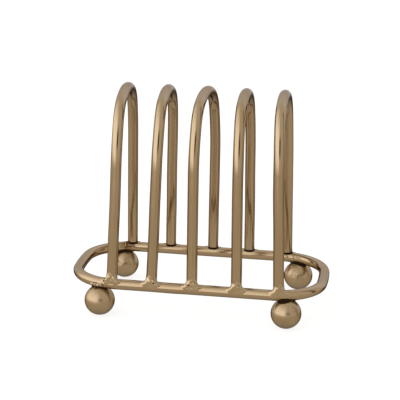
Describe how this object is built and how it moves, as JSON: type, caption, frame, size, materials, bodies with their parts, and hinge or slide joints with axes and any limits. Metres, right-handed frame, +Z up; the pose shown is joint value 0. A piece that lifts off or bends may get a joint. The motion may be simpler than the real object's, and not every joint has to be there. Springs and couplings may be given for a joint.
{
  "type": "toast rack",
  "caption": "Toast rack of tall narrow wire hoops brazed across a long rounded wire ring that stands on ball feet.",
  "frame": {"origin": "on the surface that the rack stands on, under the middle of the base ring", "axes": "+X along the rack's length, -Y towards its front, +Z up"},
  "size_m": [0.146, 0.0848, 0.1256],
  "materials": {
    "wire_brass": "aged satin brass wire with drawn lines and brown tarnish",
    "ball_brass": "aged satin brass, a little brighter than the wire",
    "braze": "lumpy braze metal, brighter on its crests and sooty at its edges"
  },
  "bodies": {
    "root": {"base_ring": "wire_brass", "ring_butt_braze": "braze", "hoop_1": "wire_brass", "hoop_2": "wire_brass", "hoop_3": "wire_brass", "hoop_4": "wire_brass", "hoop_5": "wire_brass", "foot_front_left": "ball_brass", "foot_front_right": "ball_brass", "foot_rear_left": "ball_brass", "foot_rear_right": "ball_brass", "front_braze_1": "braze", "front_braze_2": "braze", "front_braze_3": "braze", "front_braze_4": "braze", "front_braze_5": "braze", "rear_braze_1": "braze", "rear_braze_2": "braze", "rear_braze_3": "braze", "rear_braze_4": "braze", "rear_braze_5": "braze", "foot_braze_front_left": "braze", "foot_braze_front_right": "braze", "foot_braze_rear_left": "braze", "foot_braze_rear_right": "braze"}
  },
  "joints": []
}
